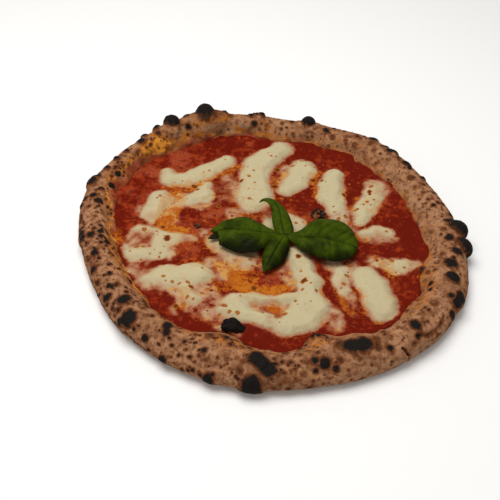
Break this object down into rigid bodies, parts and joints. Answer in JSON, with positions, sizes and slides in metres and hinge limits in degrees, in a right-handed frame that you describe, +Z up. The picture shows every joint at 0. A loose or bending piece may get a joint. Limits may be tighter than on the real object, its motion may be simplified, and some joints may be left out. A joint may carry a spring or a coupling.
{
  "type": "margherita pizza",
  "caption": "Whole wood-fired margherita pizza with a puffed, charred rim, tomato sauce, melted mozzarella and a basil sprig.",
  "frame": {"origin": "centre of the outline's box, on the flat underside of the dough", "axes": "+Z up out of the toppings; -Y towards the viewer of the shown side; +X to the viewer's right"},
  "size_m": [0.3062, 0.3042, 0.0349],
  "materials": {
    "dough": "baked flour dough, dry and mottled, with browned and charred blisters",
    "tomato_sauce": "cooked crushed tomato, moist, with orange oil",
    "mozzarella": "melted cheese, soft sheen",
    "basil_leaf": "fresh leaf, waxy sheen"
  },
  "bodies": {
    "root": {"crust": "dough", "sauce": "tomato_sauce", "mozzarella_01": "mozzarella", "mozzarella_02": "mozzarella", "mozzarella_03": "mozzarella", "mozzarella_04": "mozzarella", "mozzarella_05": "mozzarella", "mozzarella_06": "mozzarella", "mozzarella_07": "mozzarella", "mozzarella_08": "mozzarella", "mozzarella_09": "mozzarella", "mozzarella_10": "mozzarella", "mozzarella_11": "mozzarella", "mozzarella_12": "mozzarella", "mozzarella_13": "mozzarella", "mozzarella_14": "mozzarella", "mozzarella_15": "mozzarella", "mozzarella_16": "mozzarella", "basil_sprig": "basil_leaf"}
  },
  "joints": []
}
